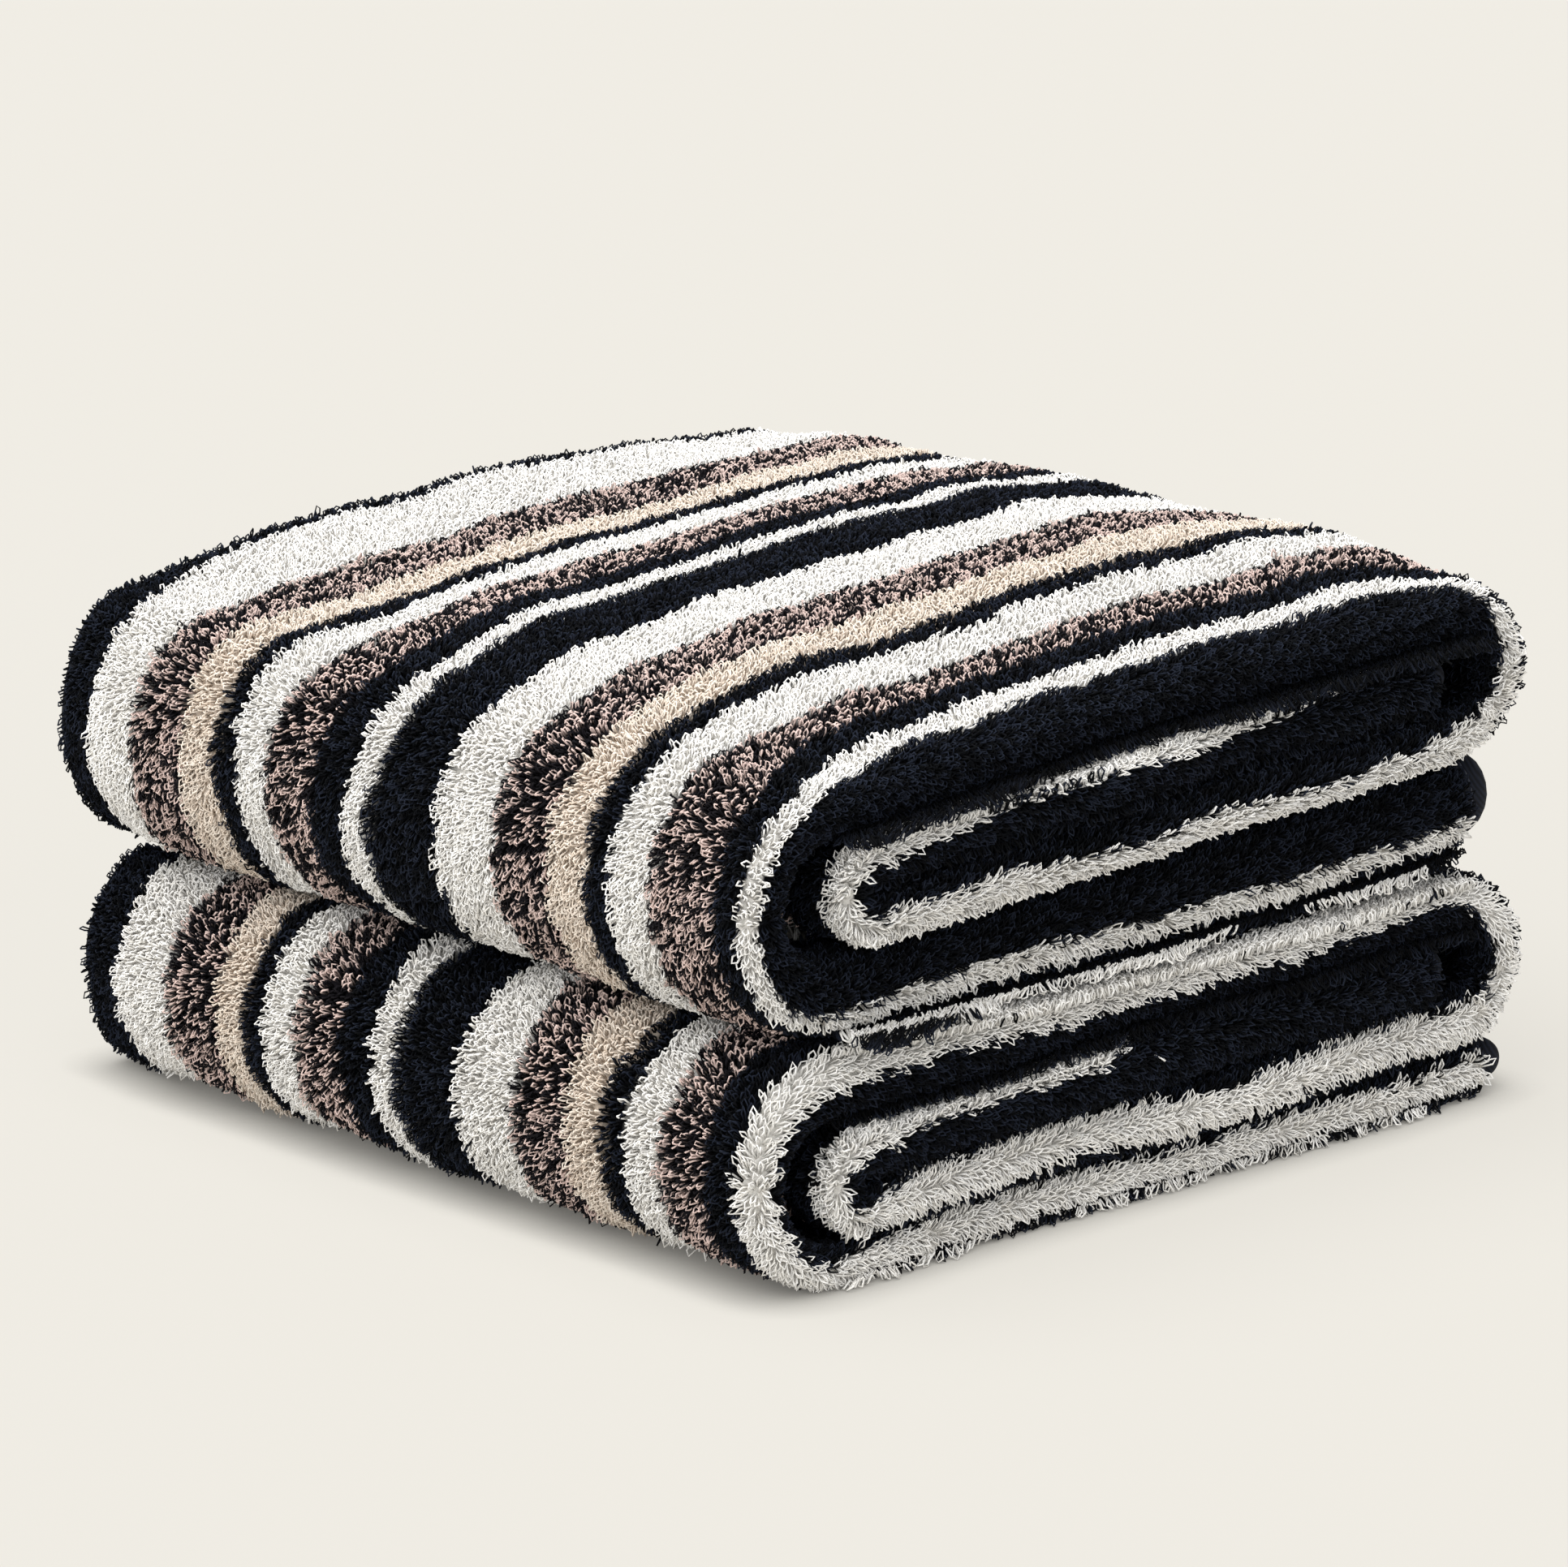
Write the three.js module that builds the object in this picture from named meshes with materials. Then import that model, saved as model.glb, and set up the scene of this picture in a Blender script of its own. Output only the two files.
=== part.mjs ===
// A stack of two striped terry towels. Each towel is one long cloth, folded in half
// lengthwise and then rolled over three times into a flat packet of four doubled layers.
//
// Millimetres. X runs across the stripes, from the open long edges (-X) to the doubled
// edge (+X). Y runs along the stripes, with the big front fold at -Y. Z is up. The origin
// is at the middle of the footprint, on the surface that the stack lies on.
//
// Going along the cloth from its outer end, a towel is: bottom panel, front fold, top
// panel, back fold, lining panel, inner fold, core panel. The top panel and all that
// follows it lift together about the front fold.
import * as THREE from 'three';

const LAYER_GAP = 0.4;          // clear space between two layers that lie on each other
const END_GAP = 0.3;            // clear space between two lengths of the same cloth
const PLY_SLIT = 0.3;           // clear space between the two plies of a doubled layer
const STATION_STEP = 50;        // spacing of the cross-sections along a panel
const FOLD_STEPS = 8;           // cross-sections round a half-turn fold
const EDGE_STEPS = 6;           // facets round the doubled long edge
const SIDE_HEM_WIDTH = 8;       // flat-woven hem along each long edge
const END_HEM_WIDTH = 14;       // turned and sewn hem across each short end
const END_HEM_THICKNESS = 0.76; // of the piled layer that it finishes
const THREAD_WIDTH = 1.0;       // along Y
const THREAD_HEIGHT = 0.7;      // proud of the hem
const THREAD_INSET = 10;        // sewing line, from the end of the hem
const LEVEL_SPAN = 150;         // levels are given at y = -150, 0 and +150

// Heights of the five surfaces that bound a towel's four layers, at the front, the middle
// and the back; and where each fold turns and how far it reaches beyond its turning line.
const TOWELS = {
  lower: {
    edges: { open: -174, doubled: 182 },
    levels: {
      underside: [0, 0, 0],
      liningUnder: [15, 16, 18],
      coreUnder: [32, 36, 38],
      topUnder: [50, 55, 57],
      top: [79, 78, 80],
    },
    frontFold: { y: -142, reach: 38, innerReach: 19 },
    backFold: { y: 152, reach: 30, innerReach: 9 },
    innerFold: { y: -131, reach: 19 },
    bottomEnd: 176,
    coreEnd: 145,
    crown: 2,
    color: 0xeceae4,
  },
  upper: {
    edges: { open: -182, doubled: 182 },
    levels: {
      underside: [79.5, 78.5, 84],
      liningUnder: [108, 115, 122],
      coreUnder: [125, 134, 139],
      topUnder: [142, 153, 160],
      top: [166, 181, 187],
    },
    frontFold: { y: -141, reach: 41, innerReach: 20 },
    backFold: { y: 150, reach: 30, innerReach: 9 },
    innerFold: { y: -127, reach: 19 },
    bottomEnd: 168,
    coreEnd: 143,
    crown: 6,
    color: 0xf2f0ea,
  },
};

const NAVY = 0x1b2029;
const THREAD_NAVY = 0x2a303c;

// Smooth curve through a level's front, middle and back heights.
function levelAt(heights, y) {
  const [front, middle, back] = heights;
  const u = y / LEVEL_SPAN;
  return middle + ((back - front) / 2) * u + ((front + back) / 2 - middle) * u * u;
}

// Stations across a panel between two levels: each has a point on the layer's outer side
// and one on its inner side, as [y, z], and the share of the towel's crown that it takes.
function panelStations(yStart, yEnd, outerLevel, innerLevel, crowned = 0) {
  const low = Math.min(yStart, yEnd);
  const high = Math.max(yStart, yEnd);
  const stops = [low];
  for (let y = Math.ceil(low / STATION_STEP) * STATION_STEP; y < high; y += STATION_STEP) {
    if (y - low > 1 && high - y > 1) stops.push(y);
  }
  stops.push(high);
  return stops.map((y) => {
    const outer = levelAt(outerLevel, y);
    const inner = levelAt(innerLevel, y);
    const trim = (Math.sign(inner - outer) * LAYER_GAP) / 2;
    return { outer: [y, outer + trim], inner: [y, inner - trim], crowned };
  });
}

// Stations round a fold, from angle a0 to a1 in degrees: -90 is its lower end and +90 its
// upper end. side is -1 for a fold that bulges to -Y and +1 for one that bulges to +Y.
// The upper part of a fold next to the top panel (isTop) takes up the top panel's crown.
function foldStations(fold) {
  const { y, side, reach, innerReach, outer, inner, isTop, a0 = -90, a1 = 90 } = fold;
  const steps = Math.max(4, Math.round((FOLD_STEPS * (a1 - a0)) / 180));
  const stations = [];
  for (let i = 0; i <= steps; i += 1) {
    const angle = THREE.MathUtils.degToRad(a0 + ((a1 - a0) * i) / steps);
    const onRing = (span, radius) => [
      y + side * (END_GAP / 2 + radius * Math.cos(angle)),
      (span[0] + span[1]) / 2 + ((span[1] - span[0]) / 2) * Math.sin(angle),
    ];
    const crowned = isTop ? Math.max(0, Math.sin(angle)) : 0;
    stations.push({ outer: onRing(outer, reach), inner: onRing(inner, innerReach), crowned });
  }
  return stations;
}

// A point of the layer: t is 0 on its inner side and 1 on its outer side.
function layerPoint(station, x, t, drop = 0) {
  const dy = station.outer[0] - station.inner[0];
  const dz = station.outer[1] - station.inner[1];
  const thickness = Math.hypot(dy, dz);
  const u = t - drop / thickness;
  return new THREE.Vector3(x, station.inner[0] + dy * u, station.inner[1] + dz * u);
}

// The doubled layer in section: a band that runs along the outer ply, round the doubled
// edge and back along the inner ply. Each entry pairs a point on the band's outside with
// one on its inside. The outer ply falls away by up to crown millimetres towards both edges.
function doubledSection(station, edges, towelCrown) {
  const crown = towelCrown * station.crowned;
  const thickness = Math.hypot(
    station.outer[0] - station.inner[0],
    station.outer[1] - station.inner[1],
  );
  const radius = thickness / 2;
  const slit = PLY_SLIT / 2;
  const open = edges.open + SIDE_HEM_WIDTH + END_GAP;
  const bend = edges.doubled - radius;
  const shoulder = 45;
  const pairs = [];
  const straight = [
    [open, crown],
    [open + shoulder, crown * 0.2],
    [bend - shoulder, crown * 0.1],
    [bend, crown * 0.6],
  ];
  for (const [x, drop] of straight) {
    pairs.push([
      layerPoint(station, x, 1, drop),
      layerPoint(station, x, 0.5 + slit / thickness),
    ]);
  }
  for (let i = 1; i < EDGE_STEPS; i += 1) {
    const angle = Math.PI / 2 - (Math.PI * i) / EDGE_STEPS;
    const rise = Math.sin(angle);
    const drop = crown * 0.6 * Math.max(0, rise);
    pairs.push([
      layerPoint(station, bend + radius * Math.cos(angle), 0.5 + 0.5 * rise, drop),
      layerPoint(station, bend + slit * Math.cos(angle), 0.5 + (slit / thickness) * rise),
    ]);
  }
  for (const x of [bend, open]) {
    pairs.push([
      layerPoint(station, x, 0),
      layerPoint(station, x, 0.5 - slit / thickness),
    ]);
  }
  return pairs;
}

// A flat-woven hem along the open long edge of one ply.
function sideHemSection(station, edges, ply, towelCrown) {
  const [low, high] = ply === 'outer' ? [0.58, 0.93] : [0.07, 0.42];
  const drop = ply === 'outer' ? towelCrown * station.crowned : 0;
  return [edges.open, edges.open + SIDE_HEM_WIDTH].map((x) => [
    layerPoint(station, x, high, drop),
    layerPoint(station, x, low),
  ]);
}

function signedVolume(positions, faces) {
  let volume = 0;
  for (const [a, b, c] of faces) {
    volume += positions[a].dot(new THREE.Vector3().crossVectors(positions[b], positions[c])) / 6;
  }
  return volume;
}

// One closed solid from a row of sections, each a list of [outside, inside] points.
function bandSolid(sections) {
  const positions = [];
  const count = sections[0].length;
  for (const section of sections) {
    for (const [outside, inside] of section) positions.push(outside, inside);
  }
  const at = (station, pair, side) => (station * count + pair) * 2 + side;
  const faces = [];
  const quad = (a, b, c, d) => faces.push([a, b, c], [a, c, d]);
  const last = sections.length - 1;
  for (let s = 0; s < last; s += 1) {
    for (let k = 0; k < count - 1; k += 1) {
      quad(at(s, k, 0), at(s, k + 1, 0), at(s + 1, k + 1, 0), at(s + 1, k, 0));
      quad(at(s, k, 1), at(s + 1, k, 1), at(s + 1, k + 1, 1), at(s, k + 1, 1));
    }
    quad(at(s, 0, 0), at(s + 1, 0, 0), at(s + 1, 0, 1), at(s, 0, 1));
    quad(at(s, count - 1, 0), at(s, count - 1, 1), at(s + 1, count - 1, 1), at(s + 1, count - 1, 0));
  }
  for (let k = 0; k < count - 1; k += 1) {
    quad(at(0, k, 0), at(0, k, 1), at(0, k + 1, 1), at(0, k + 1, 0));
    quad(at(last, k, 0), at(last, k + 1, 0), at(last, k + 1, 1), at(last, k, 1));
  }
  const flip = signedVolume(positions, faces) < 0;
  const index = faces.flatMap(([a, b, c]) => (flip ? [a, c, b] : [a, b, c]));
  const geometry = new THREE.BufferGeometry();
  geometry.setAttribute(
    'position',
    new THREE.Float32BufferAttribute(positions.flatMap((p) => [p.x, p.y, p.z]), 3),
  );
  geometry.setIndex(index);
  geometry.computeVertexNormals();
  return geometry;
}

function cloth(name, geometry, color, roughness = 0.95) {
  const material = new THREE.MeshStandardMaterial({ color, roughness, metalness: 0 });
  const mesh = new THREE.Mesh(geometry, material);
  mesh.name = name;
  return mesh;
}

// The stations of a towel's eight lengths of doubled cloth, in order along the cloth.
function towelLengths(towel) {
  const { levels, frontFold, backFold, innerFold } = towel;
  const half = END_GAP / 2;
  const at = (level, y) => levelAt(levels[level], y);
  const inset = (low, high) => [low + LAYER_GAP / 2, high - LAYER_GAP / 2];
  const front = {
    ...frontFold,
    side: -1,
    isTop: true,
    outer: inset(at('underside', frontFold.y), at('top', frontFold.y)),
    inner: [
      at('liningUnder', frontFold.y) - LAYER_GAP / 2,
      at('topUnder', frontFold.y) + LAYER_GAP / 2,
    ],
  };
  const back = {
    ...backFold,
    side: 1,
    isTop: true,
    outer: inset(at('liningUnder', backFold.y), at('top', backFold.y)),
    inner: [
      at('coreUnder', backFold.y) - LAYER_GAP / 2,
      at('topUnder', backFold.y) + LAYER_GAP / 2,
    ],
  };
  const tight = {
    ...innerFold,
    side: -1,
    outer: inset(at('liningUnder', innerFold.y), at('topUnder', innerFold.y)),
    inner: [
      at('coreUnder', innerFold.y) - LAYER_GAP / 2,
      at('coreUnder', innerFold.y) + LAYER_GAP / 2,
    ],
    innerReach: LAYER_GAP / 2,
  };
  const split = 0.5;
  return {
    bottom_panel: panelStations(
      frontFold.y + half,
      towel.bottomEnd - END_HEM_WIDTH - END_GAP,
      levels.underside,
      levels.liningUnder,
    ),
    front_fold_bottom: foldStations({ ...front, a1: -split }),
    front_fold_top: foldStations({ ...front, a0: split }),
    top_panel: panelStations(
      frontFold.y + half,
      backFold.y - half,
      levels.top,
      levels.topUnder,
      1,
    ),
    back_fold: foldStations(back),
    lining_panel: panelStations(
      innerFold.y + half,
      backFold.y - half,
      levels.liningUnder,
      levels.coreUnder,
    ),
    inner_fold: foldStations(tight),
    core_panel: panelStations(
      innerFold.y + half,
      towel.coreEnd - END_HEM_WIDTH - END_GAP,
      levels.topUnder,
      levels.coreUnder,
    ),
  };
}

// A cross-section of a short-end hem, which is thinner than the piled layer it finishes.
function endHemStation(y, outerLevel, innerLevel, thickness) {
  const outer = levelAt(outerLevel, y);
  const inner = levelAt(innerLevel, y);
  const middle = (outer + inner) / 2;
  const half = ((outer - inner) / 2) * thickness;
  return { outer: [y, middle + half], inner: [y, middle - half], crowned: 0 };
}

// The whole short-end hem, rounded at its tip.
function endHemStations(yEnd, outerLevel, innerLevel) {
  const shape = [
    [0, END_HEM_THICKNESS],
    [0.7, END_HEM_THICKNESS],
    [0.9, END_HEM_THICKNESS * 0.85],
    [1, END_HEM_THICKNESS * 0.55],
  ];
  return shape.map(([along, thickness]) => {
    const y = yEnd - END_HEM_WIDTH * (1 - along);
    return endHemStation(y, outerLevel, innerLevel, thickness);
  });
}

// The sewing thread of an end hem: a raised row round the outside of the doubled hem.
function threadSections(yEnd, outerLevel, innerLevel, edges) {
  return [0, THREAD_WIDTH].map((along) => {
    const y = yEnd - THREAD_INSET + along;
    const station = endHemStation(y, outerLevel, innerLevel, END_HEM_THICKNESS);
    const thickness = Math.abs(station.outer[1] - station.inner[1]);
    const radius = thickness / 2;
    const bend = edges.doubled - radius;
    const open = edges.open + SIDE_HEM_WIDTH + END_GAP;
    const pair = (x, angle, stretch) => [END_GAP + THREAD_HEIGHT, END_GAP].map((offset) => {
      const reach = radius + offset;
      const t = 0.5 + (reach / thickness) * Math.sin(angle);
      return layerPoint(station, x + stretch * reach * Math.cos(angle), t);
    });
    const pairs = [pair(open, Math.PI / 2, 0)];
    for (let i = 0; i <= EDGE_STEPS; i += 1) {
      pairs.push(pair(bend, Math.PI / 2 - (Math.PI * i) / EDGE_STEPS, 1));
    }
    pairs.push(pair(open, -Math.PI / 2, 0));
    return pairs;
  });
}

function buildTowel(prefix, towel) {
  const group = new THREE.Group();
  const { edges, levels, crown } = towel;
  for (const [name, stations] of Object.entries(towelLengths(towel))) {
    const body = stations.map((station) => doubledSection(station, edges, crown));
    group.add(cloth(`${prefix}_${name}`, bandSolid(body), towel.color));
    for (const ply of ['outer', 'inner']) {
      const hem = stations.map((station) => sideHemSection(station, edges, ply, crown));
      group.add(cloth(`${prefix}_${name}_${ply}_side_hem`, bandSolid(hem), NAVY, 0.85));
    }
  }
  const ends = {
    bottom_end: [towel.bottomEnd, levels.underside, levels.liningUnder],
    core_end: [towel.coreEnd, levels.topUnder, levels.coreUnder],
  };
  for (const [name, [yEnd, outerLevel, innerLevel]] of Object.entries(ends)) {
    const stations = endHemStations(yEnd, outerLevel, innerLevel);
    const inboard = { open: edges.open, doubled: edges.doubled - 2 };
    const hem = stations.map((station) => doubledSection(station, inboard, crown));
    group.add(cloth(`${prefix}_${name}_hem`, bandSolid(hem), NAVY, 0.85));
    const thread = bandSolid(threadSections(yEnd, outerLevel, innerLevel, inboard));
    group.add(cloth(`${prefix}_${name}_hem_stitching`, thread, THREAD_NAVY, 0.7));
  }
  return group;
}

const group = new THREE.Group();
for (const [prefix, towel] of Object.entries(TOWELS)) group.add(buildTowel(prefix, towel));
group.position.z = -LAYER_GAP / 2; // the lowest ply lies on the surface itself

export default group;
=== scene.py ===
"""Two folded terry towels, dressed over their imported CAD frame.

Each towel is one striped cloth, doubled along its right-hand edge (+X) and rolled over
three times. Its ground weave is a thin sheet, its pile is thousands of yarn loops that
stand on both faces of that sheet, and its raw edges end in woven hems.
Lengths are in millimetres until a mesh is made. X runs across the stripes, Y along them.
"""
import math

import bpy
import numpy as np
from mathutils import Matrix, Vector


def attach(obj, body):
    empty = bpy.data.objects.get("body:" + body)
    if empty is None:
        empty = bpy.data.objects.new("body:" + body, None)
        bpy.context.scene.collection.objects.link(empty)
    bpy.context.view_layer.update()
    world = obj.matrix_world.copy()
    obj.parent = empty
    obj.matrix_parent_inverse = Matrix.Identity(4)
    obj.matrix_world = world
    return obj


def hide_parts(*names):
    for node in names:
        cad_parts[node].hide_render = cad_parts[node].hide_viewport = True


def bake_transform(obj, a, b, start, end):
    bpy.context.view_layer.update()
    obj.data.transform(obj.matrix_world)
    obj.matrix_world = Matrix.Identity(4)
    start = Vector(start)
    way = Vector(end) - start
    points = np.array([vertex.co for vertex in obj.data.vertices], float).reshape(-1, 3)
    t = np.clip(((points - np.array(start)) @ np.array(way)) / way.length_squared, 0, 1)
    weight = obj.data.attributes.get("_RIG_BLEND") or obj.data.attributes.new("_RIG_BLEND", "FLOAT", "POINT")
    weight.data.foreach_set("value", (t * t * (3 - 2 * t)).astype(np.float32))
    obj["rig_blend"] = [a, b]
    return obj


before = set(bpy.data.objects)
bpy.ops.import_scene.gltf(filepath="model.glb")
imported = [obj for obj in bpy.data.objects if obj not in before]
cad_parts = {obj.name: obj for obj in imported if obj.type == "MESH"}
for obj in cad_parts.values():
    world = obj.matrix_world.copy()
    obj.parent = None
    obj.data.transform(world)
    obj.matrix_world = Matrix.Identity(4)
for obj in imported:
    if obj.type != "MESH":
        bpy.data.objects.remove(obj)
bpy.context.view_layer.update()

MM = 0.001
LAYER_GAP = 0.4         # between two layers of a towel
LEVEL_SPAN = 150        # how far before and behind the middle the heights in TOWELS are given
SIDE_HEM_WIDTH = 8
END_HEM_WIDTH = 14
THREAD_INSET = 10       # of the row of stitches from the end of the hem

# The lengths of each cloth, in order from its outer end, and the parts that move as one.
REGIONS = (
    "bottom_panel", "front_fold", "top_panel", "back_fold",
    "lining_panel", "inner_fold", "core_panel",
)
PARTS = {
    "bottom": REGIONS[:1],
    "front_fold": REGIONS[1:2],
    "flap": REGIONS[2:],
}

# Heights of the surfaces that bound each towel's four layers at y = -150, 0 and +150, and
# where its folds turn and how far they reach, as in the CAD model. The last two lines of
# each are looks: how far the top sinks at the open and the doubled edge, how high its
# middle swells, how its stripes are placed, and the seed of all that is random.
TOWELS = {
    "lower": {
        "open_edge": -174, "doubled_edge": 182,
        "underside": (0, 0, 0), "lining_under": (15, 16, 18), "core_under": (32, 36, 38),
        "top_under": (50, 55, 57), "top": (79, 78, 80),
        "front_y": -142, "front_reach": 38, "front_inner_reach": 19,
        "back_y": 152, "back_reach": 30, "back_inner_reach": 9,
        "tight_y": -131, "tight_reach": 19,
        "bottom_end": 176, "core_end": 145,
        "open_drop": (2, 2, 2), "doubled_drop": (1, 1, 1), "bulge": 0,
        "stripe_start": -142.5, "stripe_scale": 0.965, "skew": 0, "seed": 11,
    },
    "upper": {
        "open_edge": -182, "doubled_edge": 182,
        "underside": (79.5, 78.5, 84), "lining_under": (108, 115, 122),
        "core_under": (125, 134, 139), "top_under": (142, 153, 160), "top": (166, 181, 187),
        "front_y": -141, "front_reach": 41, "front_inner_reach": 20,
        "back_y": 150, "back_reach": 30, "back_inner_reach": 9,
        "tight_y": -127, "tight_reach": 19,
        "bottom_end": 168, "core_end": 143,
        "open_drop": (-1, -3, 6), "doubled_drop": (3, 4, 4), "bulge": 8.5,
        "stripe_start": -157.5, "stripe_scale": 1.0, "skew": 3, "seed": 23,
    },
}

# How each region differs from its neighbours, blended along the cloth. Several values for
# one region are spread evenly along it, in the order of REGIONS.
# edge_out    how much further its doubled edge sticks out
# line_wide   how wide the white line round its doubled edge looks
# line_shift  how far that line has moved towards the inner ply
# tuck        how far the open edge rolls under, which narrows the stripe beside it
# fluff       how long and splayed the loops round its doubled edge are
# slack       how freely the outer face swells: 1 where nothing lies on it
REGION_SHAPE = {
    "lower": {
        "edge_out": (0, 0, 0, 0, 4, 3, 5),
        "line_wide": (0.9, 1.25, 1.2, 1.0, 1.1, 1.1, 1.3),
        "line_shift": ((8, 6, 6), 0, (0, -1, -5), 6, 11, 0, (-2, -4, -4)),
        "fluff": (0.9, 0.8, 0.7, 1, 1.1, 0.8, 0.8),
        "tuck": (8, 8, 8, 8, 8, 8, 8),
        "slack": (0.1, 1, 0.25, 1, 0.1, 0.1, 0.1),
    },
    "upper": {
        "edge_out": (-2, 0, 0, 0, 5, 3, 4.5),
        "line_wide": (0.6, 0.65, 1.1, 0.8, 1.45, 1.0, (1.15, 1.0, 0.9)),
        "line_shift": (4, 0, (-13, -17, -14), 10, (8, 1, 11), 4, (2, 1, -5)),
        "fluff": (0.8, 0.2, 0.2, 0.6, 1.2, 0.8, 0.9),
        "tuck": (0, 0, 14, 14, 8, 8, 8),
        "slack": (0.1, 0.8, 0.5, 0.8, 0.1, 0.1, 0.1),
    },
}
# Between which two y the core's white line turns out of sight under the layer above.
LINE_HIDDEN = {"lower": (-40, 25), "upper": (80, 135)}

PATH_STEP = 2.0         # spacing of the rows that a towel's path is held at
FEWEST_FOLD_ROWS = 12
BLEND_ROWS = 19         # over which one region's values turn into the next one's

# The surface of the cloth.
PILE_DEPTH = 3.4        # from the ground weave's face to the tips of the loops
GROUND_THICKNESS = 2.2
SWELL = 0.9             # height of the slow waves in a free face
CREASE = 0.35           # and of the short ones
EDGE_SLACK = 0.5        # how freely the doubled edge swells
EDGE_DRIFT = 0.8        # how far the doubled edge wanders in and out
EDGE_INSET = 1.2        # how far inside its nominal place it lies on average
CORNER_RETREAT = 0.28   # share of the front fold's reach that is lost at the open edge
CORNER_FADE = (-8, 46)  # and where that ends, from the open edge
DROP_REACH = 60         # how far in from an edge the top sinks
# Where the swollen middle of the top rises and falls. Across, the fall is from the bend.
BULGE_ACROSS = ((-110, 20), (-88, 2))
BULGE_ALONG = ((-168, -105), (90, 170))

# One repeat of the stripes, from a wide white one: (yarn, width). Where it starts, and how
# far the cloth is stretched across, are each towel's own.
STRIPES = (
    ("white", 29), ("melange", 26), ("beige", 18), ("navy", 11), ("white", 18),
    ("melange", 24), ("navy", 16), ("white", 12), ("navy", 32),
)
STRIPE_REPEAT = sum(width for _, width in STRIPES)
STRIPE_DRIFT = 0.8      # how far the stripes wander sideways in slow waves
STRIPE_RIPPLE = 0.4     # and in short ones
WHITE_LINE = 148        # middle of the narrow white stripe, from the start of the repeat
LINE_WINDOW = 24        # how far from the white line its width and shift still act
LINE_REACH = 10         # the line lies within this of its middle
SKEW_FADE = (90, 165)   # across the top, where the skew of the stripes ends
TUCK_FADE = (4, 47)     # from the open edge, where the narrowing of the stripe ends
NAVY_EXTRA = 14         # how much wider the navy past the white line is than in STRIPES
NAVY_STRETCH = (198, 222)   # and where across the flat cloth it is stretched
RAGGED = 0.7            # how far loops stray over the border of a stripe
YARNS = ("white", "melange", "beige", "navy")
# Light and dark yarn of each stripe, and the share of light loops.
YARN_COLOURS = {
    "white": ((247, 245, 241), (243, 240, 234), 0.7),
    "melange": ((226, 202, 193), (24, 22, 26), 0.47),
    "beige": ((238, 226, 212), (230, 215, 199), 0.6),
    "navy": ((31, 36, 48), (7, 9, 14), 0.45),
}
# Painted shade: how much darker each yarn is coloured at a loop's root than at its tip, standing in for the
# shade down among the crowded loops.
PAINTED_ROOT_SHADE = {"white": 0.0, "melange": 0.65, "beige": 0.1, "navy": 0.8}
LOOP_SHADES = (0.9, 1.04)   # range of brightness from loop to loop
GROUND_SHADE = 0.9      # of the ground weave, against the dark yarn of its stripe

# The pile. Densities are in loops per square millimetre.
SHOWN_DENSITY, HIDDEN_DENSITY = 0.33, 0.06
BACK_FOLD_DENSITY = 0.22
FINE_RINGS = 5          # sections along a loop where the pile shows
PLAIN_RINGS = 4         # and where it is hidden inside the folds
COARSE = 1.25           # how much bigger the hidden loops are
DOUBLED_BEND = 12       # about how far from the doubled edge the faces start to turn
OUTER_STRIP = 16        # width of shown pile beside the bend on a hidden outer face
INNER_STRIP = 12        # and on an inner face
OPEN_STRIP = 24         # width of the pile that shows at the open edge
LINING_STRIP = 22       # and of the pile between the plies there
END_DEPTH = 40          # how far into the open end of a towel its inner pile is made
PILE_OVER_HEM = 6       # how far the pile reaches over the side hem
JITTER = 0.42           # of the roots, as a share of their spacing
ROOT_SINK = 0.15        # how deep the roots stand in the ground weave
FLOOR_CLEARANCE = 0.3   # of the lowest loops, which the towels press flat
MOST_TRIANGLES = 196_000    # in one piece of pile

# The loops. Each size is drawn evenly from its range.
YARN_RADIUS = 0.34
YARN_UNEVENNESS = (0.9, 1.12)
LOOP_RISE = (2.4, 3.6)      # how high it stands
LOOP_LENGTH = (1.6, 3.8)    # how far it leans
LOOP_WIDTH = (1.5, 2.4)     # between its feet
EDGE_LENGTH = (1.8, 3.6)    # the same for the loops round the doubled edge
EDGE_WIDTH = (1.3, 2.0)
STRAY_RISE = (0.5, 2.0)     # how much higher a stray loop stands
STRAY_SHARE = 0.02
TOP_LENGTH_LOSS = 0.55      # share of length and width lost where the cloth faces up
TOP_WIDTH_LOSS = 0.15
FRINGE = 12                 # how far from the white line its loops stand out
FRINGE_RISE = 0.25          # and how much higher they are there
FRINGE_LENGTHS = (0.7, 0.35, 0.35)  # lean at the edge: always, with fluff, by the line
PARTING = 4                 # how wide the parting of the loops along the white line is
COMBING = (1.4, 0.9)        # radians that the lean drifts: with its neighbours, on its own
ROLL, ROLL_FLATTENING = 0.55, 0.8   # radians that a loop turns about its lean
FACE_FALL = 1.7             # weight of the slope in a loop's lean, against its drift
EDGE_LEAN = (0.3, 0.8, 1.1, 0.8)    # weights at the edge: slope, back, parting, drift


def srgb(colour):
    """Linear values of an 0-255 colour."""
    c = np.asarray(colour, float) / 255
    return np.where(c <= 0.04045, c / 12.92, ((c + 0.055) / 1.055) ** 2.4)


def unit(v):
    """Vectors of length 1. The small number is for one that has no length."""
    return v / (np.linalg.norm(v, axis=-1, keepdims=True) + 1e-9)


def smoothstep(low, high, x):
    """Rises from 0 at low to 1 at high, level at both ends."""
    t = np.clip((x - low) / (high - low), 0, 1)
    return t * t * (3 - 2 * t)


def fade(span, x, base=0):
    """Falls from 1 to 0 over a span that is measured from base."""
    start, end = span
    return 1 - smoothstep(base + start, base + end, x)


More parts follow.
